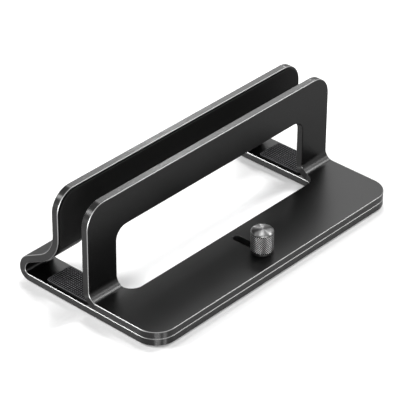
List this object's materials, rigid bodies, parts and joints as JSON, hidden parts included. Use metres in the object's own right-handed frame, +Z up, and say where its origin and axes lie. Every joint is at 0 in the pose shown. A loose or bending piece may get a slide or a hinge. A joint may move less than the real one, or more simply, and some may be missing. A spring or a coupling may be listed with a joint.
{
  "type": "vertical laptop stand",
  "caption": "Vertical stand that holds a closed laptop on edge between two folded metal walls; a thumb screw lets the front wall slide to set the gap.",
  "frame": {"origin": "on the surface the stand rests on, under the middle of its outline", "axes": "+X along the length, -Y towards the front with the thumb screw, +Z up"},
  "size_m": [0.18, 0.094, 0.0608],
  "materials": {
    "anodised_plate": "fine blasted, dark grey anodised, with bright cut edges",
    "lining": "matt black silicone sheet",
    "rest_pad": "ribbed dark silicone",
    "foot": "matt black silicone",
    "knob": "turned top, diamond knurl on the side",
    "stud": "zinc plated thread",
    "washer": "black nylon",
    "pin": "ground dowel"
  },
  "bodies": {
    "stand": {"base_frame": "anodised_plate", "rear_wall_lining": "lining", "left_rest_pad": "rest_pad", "right_rest_pad": "rest_pad", "left_guide_pin": "pin", "right_guide_pin": "pin", "foot_front_left": "foot", "foot_front_right": "foot", "foot_rear_left": "foot", "foot_rear_right": "foot"},
    "sliding_bracket": {"front_bracket": "anodised_plate", "front_wall_lining": "lining"},
    "thumb_screw": {"thumb_knob": "knob", "clamp_stud": "stud", "knob_washer": "washer"}
  },
  "joints": [
    {"name": "gap_slide", "type": "slide", "parent": "stand", "child": "sliding_bracket", "axis": [0, -1, 0], "range_m": [0, 0.017]},
    {"name": "knob_turn", "type": "hinge", "parent": "stand", "child": "thumb_screw", "pos_m": [0, -0.0346, 0.0088], "axis": [0, 0, 1], "range_deg": [0, 360]}
  ]
}
